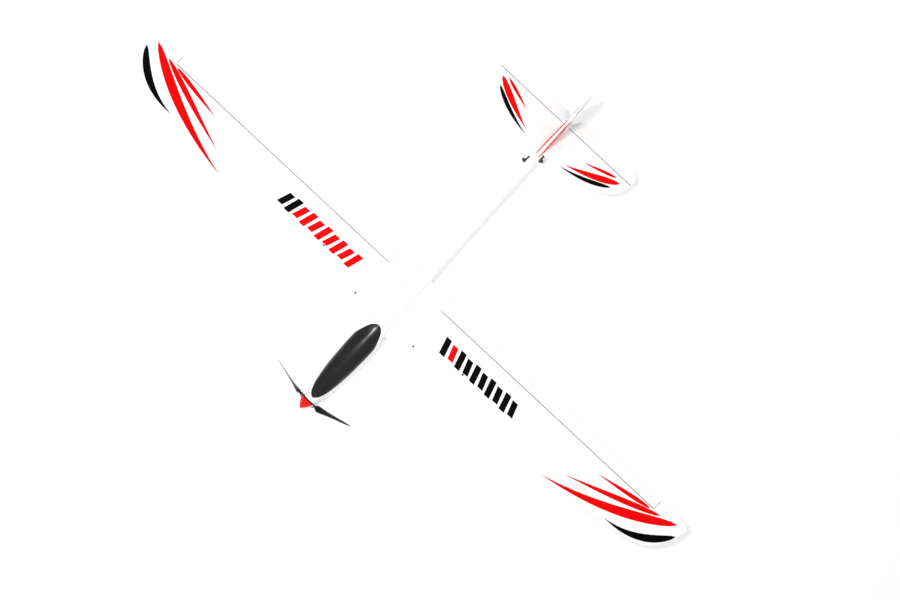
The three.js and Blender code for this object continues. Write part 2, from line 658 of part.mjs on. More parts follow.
piece('stabilizer', cut(stabShape(), ...tailScrewHoles), foam);
piece('elevator', elevatorBody(), foam);
piece('fin', cut(finShape(), hullClearance, stabShape(GAP), ...tailScrewHoles), foam);
piece('rudder', rudderBody(), foam);
for (const [where, screw] of Object.entries(TAIL_SCREWS)) {
  piece(`tail_screw_${where}`, tailScrew(screw), steel);
}

// The two tail servos lie across the boom, the rudder's facing right and the elevator's facing left.
const TAIL_SERVO_X = ELEVATOR_LINK.plateX - 2.4; // the end of their output shafts
const tailServo = (station, grow) =>
  servoCase(grow).translate(TAIL_SERVO_X, yOf(station), ELEVATOR_LINK.servoZ);
const elevatorServo = (grow = 0) => tailServo(ELEVATOR_LINK.servoStation, grow);
const rudderServo = (grow = 0) => mirrored(tailServo(RUDDER_LINK.servoStation, grow));

piece('elevator_servo', elevatorServo(), blackPlastic);
piece('rudder_servo', rudderServo(), blackPlastic);

const elevatorArm = piece('elevator_servo_arm', servoArm(ELEVATOR_LINK.arm), blackPlastic);
elevatorArm.position.set(TAIL_SERVO_X, yOf(ELEVATOR_LINK.servoStation), ELEVATOR_LINK.servoZ);
const elevatorHorn = piece('elevator_horn', controlHorn(ELEVATOR_LINK.arm, ELEVATOR.radius), blackPlastic);
elevatorHorn.position.set(ELEVATOR.hornX, yOf(ELEVATOR_HINGE.station), ELEVATOR_HINGE.z);
const elevatorReach = new THREE.Vector3(
  0, ELEVATOR_LINK.servoStation - ELEVATOR_HINGE.station, ELEVATOR_HINGE.z - ELEVATOR_LINK.servoZ);
const elevatorRod = piece('elevator_pushrod', pushrod(elevatorReach), steel);
elevatorRod.position.set(
  ELEVATOR.hornX, yOf(ELEVATOR_LINK.servoStation), ELEVATOR_LINK.servoZ - ELEVATOR_LINK.arm);

const rudderArm = piece('rudder_servo_arm', mirrored(servoArm(RUDDER_LINK.arm)), blackPlastic);
rudderArm.position.set(-TAIL_SERVO_X, yOf(RUDDER_LINK.servoStation), RUDDER_LINK.servoZ);
piece('rudder_horn', rudderHorn(), blackPlastic);

// The rudder's pushrod starts through its arm from outside and ends upright through the level horn.
function rudderPushrod() {
  const { plateX, servoStation, servoZ, arm, hornZ } = RUDDER_LINK;
  const start = [-plateX - 3.4, yOf(servoStation), servoZ - arm];
  const end = [-arm, yOf(RUDDER_HINGE_STATION), hornZ - 4.4];
  return join(
    bar([-plateX + 2.4, start[1], start[2]], start, WIRE, 8),
    bar(start, end, WIRE, 8),
    bar(end, [end[0], end[1], hornZ + 3.4], WIRE, 8),
    moved(new THREE.SphereGeometry(WIRE * 1.15, 8, 6), ...start),
    moved(new THREE.SphereGeometry(WIRE * 1.15, 8, 6), ...end));
}
piece('rudder_pushrod', rudderPushrod(), steel);

// ---- fuselage and what is inside it -------------------------------------------------------------------
const bothSides = (geometry) => {
  const left = geometry.clone().applyMatrix4(placeHalf.matrixWorld);
  return [left, mirrored(left)];
};
const sparHoles = [...bothSides(spar(GAP)), ...bothSides(frontPin(GAP))];

function fuselageShell() {
  const belly = block(-60, -700, 0, 60, 700, 200);
  const shaft = thrustPoint(NOSE - THRUST.station);
  const noseHole = bar([shaft.x, yOf(NOSE + 5), shaft.z], [shaft.x, yOf(NOSE - 8), shaft.z], 10.8, 20);
  return cut(overlap(hullOuter, belly), hullCavity, canopyPrism(GAP, 58, 130), noseHole, stabShape(GAP),
    elevatorServo(GAP), rudderServo(GAP), ...tailScrewHoles, ...sparHoles);
}
piece('fuselage_shell', fuselageShell(), hullPlastic);

const cavityRoom = hullShape(-HULL_WALL - GAP, NOSE - 4, TAIL + 9, 16, 16, HULL_WALL + GAP);
const TRAY = { front: 396, rear: 165, z: 20, thick: 2 };
const trayTop = TRAY.z + TRAY.thick;
const trayPlate = block(-45, yOf(TRAY.front), TRAY.z, 45, yOf(TRAY.rear), trayTop);
piece('equipment_tray', overlap(trayPlate, cavityRoom), plywood);

const joinerBlock = block(-30, yOf(142), 70, 30, yOf(70), 91);
piece('spar_joiner', cut(overlap(joinerBlock, cavityRoom), ...sparHoles), plywood);

const BATTERY = { front: 345, rear: 243, half: 17, low: trayTop + 2.2, high: trayTop + 27 };
const pack = block(
  -BATTERY.half, yOf(BATTERY.front), BATTERY.low, BATTERY.half, yOf(BATTERY.rear), BATTERY.high);
piece('battery', pack, batteryWrap);
const strapBand = (grow, from, to) => block(-BATTERY.half - grow, yOf(from), BATTERY.low - grow,
  BATTERY.half + grow, yOf(to), BATTERY.high + grow);
piece('battery_strap', cut(strapBand(1.5, 304, 284), strapBand(GAP, 310, 278)), strapFabric);
piece('speed_controller', block(-11, yOf(388), trayTop + GAP, 11, yOf(352), trayTop + 9), aluminium);
piece('receiver', block(-13, yOf(228), trayTop + GAP, 13, yOf(184), trayTop + 13), receiverPlastic);

// ---- canopy ---------------------------------------------------------------------------------------------
// The canopy lifts straight off. Its edge and a peg at its front locate it in the opening, and a magnet
// under its rear end holds it down on another below.
const MAGNET = { station: 172, radius: 4, thick: 3, z: 88 };
const magnet = (low, grow = 0) => bar([0, yOf(MAGNET.station), low - grow],
  [0, yOf(MAGNET.station), low + MAGNET.thick + grow], MAGNET.radius + grow, 16);

function canopyShell() {
  const shell = cut(canopyShape(0, 1.6), canopyShape(CANOPY_WALL, 12));
  const seat = bar([0, yOf(MAGNET.station), MAGNET.z + MAGNET.thick + GAP],
    [0, yOf(MAGNET.station), 100.6], MAGNET.radius, 16);
  const peg = block(-4, yOf(409), 64, 4, yOf(405), 76);
  return join(shell, seat, peg);
}
piece('canopy', canopyShell(), canopyBlack);
piece('canopy_magnet', magnet(MAGNET.z), steel);
piece('deck_magnet', magnet(MAGNET.z - MAGNET.thick - GAP), steel);

// ---- power train ----------------------------------------------------------------------------------------
// It is one group, and its lengths are distances ahead of the group's origin, along the thrust line.
glider.add(power);
const SHAFT = { radius: 1.6, from: 1, to: 58 };
const disc = (radius, front, rear, sides = 24) => bar([0, -front, 0], [0, -rear, 0], radius, sides);
const shaftBore = disc(SHAFT.radius + GAP, 72, -8, 14);

// Four screws pass through the mount from the front and into the stator's base.
function motorScrew(i, grow = 0) {
  const a = Math.PI / 4 + (i * Math.PI) / 2;
  const at = (ahead) => [7.2 * Math.cos(a), -ahead, 7.2 * Math.sin(a)];
  return join(bar(at(33.8), at(32 + GAP), 2.2, 12), bar(at(33), at(23 - grow), 1.2 + grow, 8));
}
const motorScrewHoles = [0, 1, 2, 3].map((i) => motorScrew(i, GAP));

const mount = cut(disc(15.2, 32, 26.5), disc(4.5, 37, 22, 16), ...motorScrewHoles);
const stator = cut(join(disc(13, 26, 21.4), disc(10.2, 22, 4.2)), shaftBore, ...motorScrewHoles);
piece('motor_mount', mount, blackPlastic, power);
piece('motor_stator', stator, copper, power);
for (let i = 0; i < 4; i++) piece(`motor_screw_${i + 1}`, motorScrew(i), steel, power);
piece('motor_bell', cut(disc(14, 20.8, 1.2), disc(10.8, 24, 3.6), shaftBore), aluminium, power);
piece('motor_shaft', disc(SHAFT.radius, SHAFT.to, SHAFT.from, 12), steel, power);

const YOKE = { front: 47, rear: 39, half: 26, high: 6.6, slot: 2.7 };
const pivotHole = (x, radius) => bar([x, -PROP.ahead, -20], [x, -PROP.ahead, 20], radius, 12);

function yokeBar(grow = 0) {
  return block(-YOKE.half - grow, -YOKE.front - grow, -YOKE.high - grow,
    YOKE.half + grow, -YOKE.rear + grow, YOKE.high + grow);
}

function propHub() {
  const slots = [13, -40].map((x) =>
    block(x, -YOKE.front - 5, -YOKE.slot, x + 27, -YOKE.rear + 5, YOKE.slot));
  return cut(join(yokeBar(), disc(7.5, 49, 37.6, 18)), ...slots, shaftBore,
    pivotHole(PROP.pivot, 1.85), pivotHole(-PROP.pivot, 1.85));
}
piece('prop_hub', propHub(), blackPlastic, power);
piece('prop_nut', cut(disc(4.4, 53.6, 49.4, 6), shaftBore), steel, power);

// The spinner's profile from its rim to its tip: [distance ahead, radius].
const SPINNER_PROFILE = [
  [40.4, 20], [44.5, 19.5], [49, 18.1], [54, 15.8], [59, 12.8], [64, 9.3], [68, 6.2], [71, 3.6], [72.6, 1.7],
];
const SPINNER_TIP = 73;

function spinner() {
  const outer = SPINNER_PROFILE.map(([ahead, radius]) => new THREE.Vector2(radius, ahead));
  const inner = SPINNER_PROFILE.slice(0, -3).reverse()
    .map(([ahead, radius]) => new THREE.Vector2(radius - 1.7, ahead));
  const profile = [
    ...outer, new THREE.Vector2(0, SPINNER_TIP), new THREE.Vector2(0, 66), ...inner, outer[0].clone(),
  ];
  const shell = new THREE.LatheGeometry(profile, 28).rotateX(Math.PI);
  return cut(orientedOut(shell), yokeBar(0.6));
}

// A lathe turns its profile in a fixed sense, so its faces are set to point outwards here.
function orientedOut(geometry) {
  const bare = mergeVertices(new THREE.BufferGeometry()
    .setAttribute('position', geometry.toNonIndexed().getAttribute('position')), 1e-4);
  const faces = Array.from(bare.index.array);
  const points = Array.from(bare.attributes.position.array);
  if (signedVolume(points, faces) < 0) faces.reverse();
  return bare.setIndex(faces);
}
piece('spinner', spinner(), spinnerRed, power);

// Blade sections: [distance from the pivot, chord, thickness, pitch in degrees, set forward].
const BLADE = [
  [2, 4.2, 7, 0, 0], [6.2, 4.2, 6.4, 0, 0], [10, 13, 5.4, 36, 1], [14.5, 21.5, 4.6, 42, 2.2],
  [20, 25.5, 3.8, 35, 2.8], [30, 25.5, 3.2, 27, 2.6], [45, 23, 2.8, 21, 1.8], [65, 19.5, 2.4, 17.5, 0.9],
  [86, 16, 2, 15, 0], [105, 11.8, 1.7, 13, -0.9], [115, 7.5, 1.4, 12, -1.3],
  [PROP.bladeLength, 3, 1, 12, -1.4],
];

function bladeRing([distance, chord, thickness, pitchDegrees, forward]) {
  const pitch = THREE.MathUtils.degToRad(pitchDegrees);
  const toLeading = new THREE.Vector3(0, -Math.sin(pitch), Math.cos(pitch));
  const faceNormal = new THREE.Vector3(0, -Math.cos(pitch), -Math.sin(pitch));
  const sides = 14;
  return Array.from({ length: sides }, (_, i) => {
    const a = (i / sides) * 2 * Math.PI;
    const backward = 0.04 * chord; // the blade is set a little behind its own axis
    return new THREE.Vector3(distance, -forward, 0)
      .addScaledVector(toLeading, (chord / 2) * Math.cos(a) - backward)
      .addScaledVector(faceNormal, (thickness / 2) * Math.sin(a));
  });
}

function propBlade() {
  const eye = bar([0, 0, -2.3], [0, 0, 2.3], 4.2, 16);
  const hole = bar([0, 0, -5], [0, 0, 5], 1.9, 12);
  return cut(join(loft(BLADE.map(bladeRing)), eye), hole);
}

for (const side of ['left', 'right']) {
  const half = new THREE.Group();
  half.position.y = -PROP.ahead;
  if (side === 'right') half.rotation.y = Math.PI;
  power.add(half);
  const pin = join(bar([0, 0, -7.4], [0, 0, 7.4], 1.5, 12), bar([0, 0, 7], [0, 0, 9], 2.9, 6));
  piece(`blade_pin_${side}`, pin, steel, half).position.x = PROP.pivot;
  const blade = piece(`prop_blade_${side}`, propBlade(), blackPlastic, half);
  blade.position.x = PROP.pivot;
  blade.rotation.z = THREE.MathUtils.degToRad(PROP.restFold[side]);
}

export default glider;
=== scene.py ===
"""The looks of a radio-controlled electric glider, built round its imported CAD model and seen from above.

Row frame, metres: +X is the left wing, -Y the nose and +Z up. Graphics are laid out as (span, station) in
millimetres: span is the distance from the centre line, station the distance forward of the aileron gaps."""
import json
import math

import bmesh
import bpy
from mathutils import Matrix, Vector
from mathutils.bvhtree import BVHTree
from mathutils.geometry import tessellate_polygon


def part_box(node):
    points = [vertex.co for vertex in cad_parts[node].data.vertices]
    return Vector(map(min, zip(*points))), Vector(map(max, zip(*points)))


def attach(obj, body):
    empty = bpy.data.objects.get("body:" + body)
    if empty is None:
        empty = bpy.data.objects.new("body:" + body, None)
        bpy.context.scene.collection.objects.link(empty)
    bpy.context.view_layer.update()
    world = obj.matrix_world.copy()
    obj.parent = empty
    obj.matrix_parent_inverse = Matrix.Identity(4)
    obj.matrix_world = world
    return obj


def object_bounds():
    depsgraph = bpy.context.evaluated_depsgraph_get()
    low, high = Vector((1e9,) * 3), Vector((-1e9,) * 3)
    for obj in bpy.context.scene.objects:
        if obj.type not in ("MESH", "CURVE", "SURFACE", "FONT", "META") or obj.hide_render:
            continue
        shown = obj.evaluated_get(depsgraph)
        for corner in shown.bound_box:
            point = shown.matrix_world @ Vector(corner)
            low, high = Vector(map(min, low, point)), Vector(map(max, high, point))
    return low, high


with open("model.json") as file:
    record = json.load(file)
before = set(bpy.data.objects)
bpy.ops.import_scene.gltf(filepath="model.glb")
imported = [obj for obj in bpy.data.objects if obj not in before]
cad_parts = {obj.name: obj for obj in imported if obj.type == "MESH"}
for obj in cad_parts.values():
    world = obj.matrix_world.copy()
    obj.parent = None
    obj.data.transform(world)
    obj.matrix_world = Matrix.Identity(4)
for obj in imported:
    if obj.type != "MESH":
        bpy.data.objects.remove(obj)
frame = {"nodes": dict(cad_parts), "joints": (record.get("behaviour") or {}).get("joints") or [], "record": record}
cad_box = [list(corner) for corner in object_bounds()]
nodes = frame["nodes"]
joints = {joint["name"]: joint for joint in frame["joints"]}
MM = 0.001
WING_FRONT = 160  # station of the wing's leading edge at its root
WING_FRONT_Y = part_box("wing_left")[0].y
FLOOR_HEIGHT = cad_box[0][2]


def station_y(station):
    """The row frame's Y of a station."""
    return WING_FRONT_Y + (WING_FRONT - station) * MM


# ---- camera, floor and light ---------------------------------------------------------------------
VIEW_WIDTH = 2.49  # metres across the picture, at the height of the wings
CAMERA_HEIGHT = 3.0  # above the wings
CAMERA_PLACE = Vector((0.012, -0.083))  # nearly over the centre line
CAMERA_AIM = Vector((0.096, -0.083))  # middle of the picture
CAMERA_TURN = math.radians(42.98)
SENSOR = 36
WING_HEIGHT = joints["aileron_left_hinge"]["pos_m"][2]


def make_camera():
    data = bpy.data.cameras.new("camera")
    data.sensor_width = SENSOR
    data.lens = SENSOR * CAMERA_HEIGHT / VIEW_WIDTH
    data.clip_end = 100
    across, up = Matrix.Rotation(-CAMERA_TURN, 2) @ (CAMERA_AIM - CAMERA_PLACE)
    data.shift_x = across / VIEW_WIDTH
    data.shift_y = up / VIEW_WIDTH
    camera = bpy.data.objects.new("camera", data)
    bpy.context.scene.collection.objects.link(camera)
    place = Matrix.Translation((*CAMERA_PLACE, WING_HEIGHT + CAMERA_HEIGHT))
    camera.matrix_world = place @ Matrix.Rotation(CAMERA_TURN, 4, "Z")
    bpy.context.scene.camera = camera


def make_object(name, mesh):
    made = bpy.data.objects.new(name, mesh)
    bpy.context.scene.collection.objects.link(made)
    return made


# ---- node helpers --------------------------------------------------------------------------------
class Look:
    """A material made of shader nodes, with a few short ways of adding them."""

    def __init__(self, name, color, roughness, **inputs):
        self.material = bpy.data.materials.new(name)
        self.material.use_nodes = True
        self.nodes = self.material.node_tree.nodes
        self.links = self.material.node_tree.links
        self.shader = self.nodes["Principled BSDF"]
        self.shader.inputs["Base Color"].default_value = (*color, 1)
        self.shader.inputs["Roughness"].default_value = roughness
        for key, value in inputs.items():
            self.shader.inputs[key.replace("_", " ")].default_value = value
        self.bump = None

    def add(self, kind, settings=None, **inputs):
        node = self.nodes.new(kind)
        for key, value in (settings or {}).items():
            setattr(node, key, value)
        for key, value in inputs.items():
            socket = node.inputs[int(key[2:]) if key.startswith("in") else key.replace("_", " ")]
            if isinstance(value, bpy.types.NodeSocket):
                self.links.new(value, socket)
            else:
                socket.default_value = value
        return node

    def place(self, scale=(1, 1, 1)):
        """Coordinates fixed to the piece, in metres, and scaled."""
        source = self.add("ShaderNodeTexCoord").outputs["Object"]
        mapping = self.add("ShaderNodeMapping", Vector=source)
        mapping.inputs["Scale"].default_value = scale
        return mapping.outputs["Vector"]

    def noise(self, scale, detail=2.0, stretch=(1, 1, 1), distortion=0.0):
        node = self.add("ShaderNodeTexNoise", Vector=self.place(stretch), Scale=scale, Detail=detail,
                        Distortion=distortion)
        return node.outputs["Fac"]

    def bands(self, direction, scale):
        wave = self.add("ShaderNodeTexWave", {"bands_direction": direction}, Vector=self.place(), Scale=scale)
        return wave.outputs["Fac"]

    def ramp(self, value, low, high, to_low=0.0, to_high=1.0):
        node = self.add("ShaderNodeMapRange", Value=value, From_Min=low, From_Max=high,
                        To_Min=to_low, To_Max=to_high)
        return node.outputs["Result"]

    def mix(self, factor, a, b):
        node = self.add("ShaderNodeMix", {"data_type": "RGBA"})
        for socket, value in zip((node.inputs[0], node.inputs[6], node.inputs[7]), (factor, a, b)):
            if isinstance(value, bpy.types.NodeSocket):
                self.links.new(value, socket)
            else:
                socket.default_value = value if isinstance(value, float) else (*value, 1)
        return node.outputs[2]

    def color(self, value):
        self.links.new(value, self.shader.inputs["Base Color"])

    def rough(self, value, low, high, to_low, to_high):
        self.links.new(self.ramp(value, low, high, to_low, to_high), self.shader.inputs["Roughness"])

    def relief(self, height, strength, distance):
        """Adds a layer of bump, distance metres deep, over the layers before it."""
        node = self.add("ShaderNodeBump", Height=height, Strength=strength, Distance=distance)
        if self.bump:
            self.links.new(self.bump, node.inputs["Normal"])
        self.bump = node.outputs["Normal"]
        self.links.new(self.bump, self.shader.inputs["Normal"])


# ---- materials -----------------------------------------------------------------------------------
BEADS_PER_METRE = 290.0


def foam_look():
    """Moulded bead foam: packed cells a few millimetres wide, with a skin and a little handling grime."""
    look = Look("bead_foam", (0.93, 0.93, 0.925), 0.5)
    beads = look.add("ShaderNodeTexVoronoi", {"feature": "F1"}, Vector=look.place(),
                     Scale=BEADS_PER_METRE, Randomness=0.9)
    edges = look.add("ShaderNodeTexVoronoi", {"feature": "DISTANCE_TO_EDGE"}, Vector=look.place(),
                     Scale=BEADS_PER_METRE, Randomness=0.9)
    tone = look.add("ShaderNodeSeparateColor", Color=beads.outputs["Color"]).outputs["Red"]
    cells = look.mix(look.ramp(tone, 0.0, 1.0), (0.925, 0.925, 0.92), (0.955, 0.955, 0.95))
    grime = look.ramp(look.noise(7.0, 5.0), 0.55, 0.85, 0.0, 0.35)
    look.color(look.mix(grime, cells, (0.88, 0.88, 0.865)))
    look.rough(look.noise(26.0, 3.0), 0.3, 0.7, 0.42, 0.58)
    look.relief(look.ramp(edges.outputs["Distance"], 0.0, 0.12), 0.35, 0.00012)
    look.relief(look.noise(9.0, 3.0), 0.25, 0.0006)
    return look.material


def hull_look():
    """White blow-moulded plastic: faint waviness, fine scratches along the hull and scuffs on the belly."""
    look = Look("hull_plastic", (0.93, 0.93, 0.935), 0.3, Coat_Weight=0.25, Coat_Roughness=0.12)
    scratches = look.ramp(look.noise(900.0, 2.0, stretch=(1, 0.03, 1)), 0.62, 0.72)
    belly = look.ramp(
        look.add("ShaderNodeSeparateXYZ", Vector=look.place()).outputs["Z"], 0.012, 0.0)
    scuffs = look.ramp(look.noise(170.0, 5.0, stretch=(1, 0.15, 1), distortion=0.4), 0.5, 0.62)
    worn = look.add("ShaderNodeMath", {"operation": "MULTIPLY"}, in0=belly, in1=scuffs).outputs[0]
    look.color(look.mix(worn, (0.93, 0.93, 0.935), (0.7, 0.69, 0.66)))
    look.rough(scratches, 0.0, 1.0, 0.27, 0.42)
    look.relief(look.noise(14.0, 2.0), 0.15, 0.0006)
    look.relief(scratches, 0.12, 0.00003)
    return look.material


def canopy_look():
    """Black moulded canopy with fine lines along it and a hard clear top coat."""
    look = Look("canopy_black", (0.006, 0.006, 0.007), 0.32, Specular_IOR_Level=0.22, Coat_Weight=0.2,
                Coat_Roughness=0.1)
    lines = look.noise(1500.0, 2.0, stretch=(1, 0.02, 0.4))
    look.color(look.mix(look.ramp(lines, 0.35, 0.75), (0.005, 0.005, 0.006), (0.013, 0.013, 0.014)))
    look.rough(lines, 0.3, 0.7, 0.28, 0.42)
    look.relief(lines, 0.2, 0.00004)
    look.relief(look.noise(22.0, 2.0), 0.12, 0.0004)
    return look.material


def black_plastic_look(name="black_plastic", color=(0.01, 0.01, 0.011), edge=(0.07, 0.07, 0.072)):
    """Injection-moulded nylon: a fine grain, rubbed paler along its edges."""
    look = Look(name, color, 0.45, Specular_IOR_Level=0.3)
    rubbed = look.ramp(look.add("ShaderNodeNewGeometry").outputs["Pointiness"], 0.52, 0.62)
    patchy = look.ramp(look.noise(120.0, 4.0), 0.4, 0.6)
    worn = look.add("ShaderNodeMath", {"operation": "MULTIPLY"}, in0=rubbed, in1=patchy).outputs[0]
    look.color(look.mix(worn, color, edge))
    look.rough(look.noise(300.0, 3.0), 0.3, 0.7, 0.36, 0.55)
    look.relief(look.noise(2600.0, 3.0), 0.25, 0.00004)
    return look.material


def blade_look():
    """A glass-filled blade: matte black with flow lines towards its tip and a rubbed leading edge."""
    look = Look("prop_black", (0.004, 0.004, 0.0045), 0.42, Specular_IOR_Level=0.14)
    flow = look.noise(700.0, 3.0, stretch=(0.06, 1, 1))
    rubbed = look.ramp(look.add("ShaderNodeNewGeometry").outputs["Pointiness"], 0.53, 0.66)
    tone = look.mix(look.ramp(flow, 0.3, 0.8), (0.003, 0.003, 0.0035), (0.008, 0.008, 0.0085))
    look.color(look.mix(rubbed, tone, (0.04, 0.04, 0.04)))
    look.rough(flow, 0.3, 0.7, 0.36, 0.5)
    look.relief(flow, 0.15, 0.00004)
    return look.material


def spinner_look():
    """Red moulded plastic, glossy, with scratches that run round it."""
    look = Look("spinner_red", (0.92, 0.003, 0.004), 0.26, Specular_IOR_Level=0.15, Coat_Weight=0.15,
                Coat_Roughness=0.07)
    rings = look.noise(1200.0, 2.0, stretch=(0.05, 1, 0.05))
    clouds = look.ramp(look.noise(60.0, 4.0), 0.3, 0.8)
    look.color(look.mix(clouds, (0.93, 0.003, 0.003), (0.84, 0.005, 0.006)))
    look.rough(rings, 0.35, 0.7, 0.2, 0.34)
    look.relief(rings, 0.08, 0.00003)
    return look.material


def film_look(name, color, second):
    """Printed self-adhesive film: an even colour with a slight sheen, pressed over the beads under it."""
    look = Look(name, color, 0.55, Specular_IOR_Level=0.03)
    look.color(look.mix(look.ramp(look.noise(40.0, 4.0), 0.4, 0.8), color, second))
    look.rough(look.noise(80.0, 3.0), 0.3, 0.7, 0.48, 0.62)
    beads = look.add("ShaderNodeTexVoronoi", {"feature": "SMOOTH_F1"}, Vector=look.place(),
                     Scale=BEADS_PER_METRE, Randomness=0.9)
    look.relief(beads.outputs["Distance"], 0.12, 0.0001)
    return look.material


def metal_look(name, color, roughness, stretch=(1, 1, 0.03)):
    """Turned or drawn metal: fine tool lines and a few duller patches."""
    look = Look(name, color, roughness, Metallic=1.0)
    lines = look.noise(1600.0, 3.0, stretch=stretch)
    look.color(look.mix(look.ramp(look.noise(90.0, 4.0), 0.35, 0.75), color, tuple(0.8 * c for c in color)))
    look.rough(lines, 0.3, 0.7, roughness - 0.08, roughness + 0.12)
    look.relief(lines, 0.2, 0.00003)
    return look.material


def carbon_look():
    """Pultruded carbon tube: dark, with bundles of fibre along it."""
    look = Look("carbon_tube", (0.016, 0.016, 0.018), 0.35, Coat_Weight=0.3, Coat_Roughness=0.15)
    fibres = look.noise(2200.0, 2.0, stretch=(0.02, 1, 1))
    look.color(look.mix(look.ramp(fibres, 0.4, 0.7), (0.01, 0.01, 0.011), (0.05, 0.05, 0.055)))
    look.rough(fibres, 0.3, 0.7, 0.28, 0.45)
    look.relief(fibres, 0.2, 0.00003)
    return look.material


def plywood_look():
    """Light birch plywood: long grain, darker pores and plies at its edges."""
    look = Look("plywood", (0.62, 0.43, 0.24), 0.7)
    grain = look.noise(120.0, 6.0, stretch=(1, 0.06, 1), distortion=0.6)
    plies = look.bands("Z", 400.0)
    wood = look.mix(look.ramp(grain, 0.35, 0.68), (0.68, 0.49, 0.29), (0.47, 0.3, 0.15))
    look.color(look.mix(look.ramp(plies, 0.8, 1.0, 0.0, 0.3), wood, (0.33, 0.2, 0.1)))
    look.rough(grain, 0.3, 0.7, 0.6, 0.82)
    look.relief(grain, 0.4, 0.0001)
    return look.material


def windings_look():
    """Enamelled copper wire, wound side by side, between steel laminations."""
    look = Look("windings", (0.7, 0.3, 0.12), 0.35, Metallic=0.9)
    turns = look.add("ShaderNodeTexWave", {"bands_direction": "Y"}, Vector=look.place(), Scale=420.0,
                     Distortion=0.6, Detail=1.0).outputs["Fac"]
    look.color(look.mix(turns, (0.42, 0.16, 0.06), (0.85, 0.42, 0.2)))
    look.rough(turns, 0.0, 1.0, 0.5, 0.3)
    look.relief(turns, 0.6, 0.0002)
    return look.material


def wrap_look():
    """A battery's shrink wrap: blue, with soft creases across it and a pale generic band."""
    look = Look("battery_wrap", (0.02, 0.09, 0.3), 0.3, Coat_Weight=0.3, Coat_Roughness=0.15)
    creases = look.noise(60.0, 4.0, stretch=(1, 0.4, 1.6), distortion=1.2)
    low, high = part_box("battery")
    along = look.add("ShaderNodeSeparateXYZ", Vector=look.place()).outputs["Y"]
    band = look.ramp(along, high.y - 0.016, high.y - 0.0155)
    upto = look.ramp(along, high.y - 0.0065, high.y - 0.007)
    pale = look.add("ShaderNodeMath", {"operation": "MULTIPLY"}, in0=band, in1=upto).outputs[0]
    blue = look.mix(look.ramp(creases, 0.3, 0.8), (0.02, 0.09, 0.3), (0.015, 0.06, 0.2))
    look.color(look.mix(pale, blue, (0.75, 0.75, 0.72)))
    look.rough(creases, 0.3, 0.7, 0.24, 0.42)
    look.relief(creases, 0.5, 0.0005)
    return look.material


def strap_look():
    """Woven hook-and-loop strap."""
    look = Look("woven_strap", (0.012, 0.012, 0.012), 0.9, Sheen_Weight=0.4, Sheen_Roughness=0.5)
    warp = look.bands("X", 520.0)
    weft = look.bands("Y", 520.0)
    weave = look.add("ShaderNodeMath", {"operation": "MULTIPLY"}, in0=warp, in1=weft).outputs[0]
    look.color(look.mix(weave, (0.008, 0.008, 0.008), (0.045, 0.045, 0.047)))
    look.rough(weave, 0.0, 1.0, 0.95, 0.8)
    look.relief(weave, 0.7, 0.0003)
    return look.material


def floor_look():
    """A lit white table."""
    look = Look("floor", (0.89, 0.89, 0.89), 0.9, Specular_IOR_Level=0.1, Emission_Color=(1, 1, 1, 1),
                Emission_Strength=0.14)
    look.color(look.mix(look.ramp(look.noise(3.0, 2.0), 0.3, 0.7), (0.89, 0.89, 0.89), (0.88, 0.88, 0.88)))
    return look.material


LOOKS = {
    "foam": foam_look(),
    "hull_plastic": hull_look(),
    "canopy_black": canopy_look(),
    "black_plastic": black_plastic_look(),
    "spinner_red": spinner_look(),
    "steel": metal_look("bright_steel", (0.62, 0.62, 0.63), 0.28),
    "aluminium": metal_look("aluminium", (0.76, 0.77, 0.78), 0.3, stretch=(0.05, 1, 0.05)),
    "carbon": carbon_look(),
    "plywood": plywood_look(),
    "windings": windings_look(),
    "battery_wrap": wrap_look(),
    "strap": strap_look(),
    "receiver_case": black_plastic_look("receiver_case", (0.03, 0.03, 0.034), (0.14, 0.14, 0.15)),
}
RED_FILM = film_look("red_film", (0.85, 0.0005, 0.001), (0.78, 0.0005, 0.001))
BLACK_FILM = film_look("black_film", (0.001, 0.001, 0.0012), (0.0018, 0.0018, 0.002))
BLADE = blade_look()
# Painted shade: a near-black material for the strips laid in the hinge gaps, standing in for the shadow inside
# them.
GAP_SHADE = black_plastic_look("hinge_gap_painted_shade", (0.006, 0.006, 0.006), (0.012, 0.012, 0.012))


# ---- the CAD nodes: shading and finish -----------------------------------------------------------
SHARP = math.radians(32)
SOFT_EDGES = {  # radius of the small round on a node's sharp edges, in metres
    "battery": 0.003, "receiver": 0.0012, "speed_controller": 0.001, "elevator_servo": 0.0006,
    "rudder_servo": 0.0006, "aileron_servo_left": 0.0006, "aileron_servo_right": 0.0006, "prop_hub": 0.0006,
    "canopy": 0.0003, "fuselage_shell": 0.0003, "spinner": 0.0003, "equipment_tray": 0.0003,
}
SOFT_EDGE = 0.0002


def mark_sharp_edges(mesh):
    """The CAD mesh has a vertex for each corner of each face, so its edges are matched by where they lie."""
    def key(point):
        return tuple(round(c * 1e6) for c in point)

    faces_at = {}
    for polygon in mesh.polygons:
        for start, end in polygon.edge_keys:
            pair = frozenset((key(mesh.vertices[start].co), key(mesh.vertices[end].co)))
            faces_at.setdefault(pair, []).append(polygon.normal.copy())
    if "custom_normal" in mesh.attributes:
        mesh.attributes.remove(mesh.attributes["custom_normal"])
    mesh.polygons.foreach_set("use_smooth", [True] * len(mesh.polygons))
    for edge in mesh.edges:
        pair = frozenset(key(mesh.vertices[v].co) for v in edge.vertices)
        normals = faces_at.get(pair, [])
        edge.use_edge_sharp = len(normals) == 2 and normals[0].angle(normals[1], 0.0) > SHARP
    mesh.update()


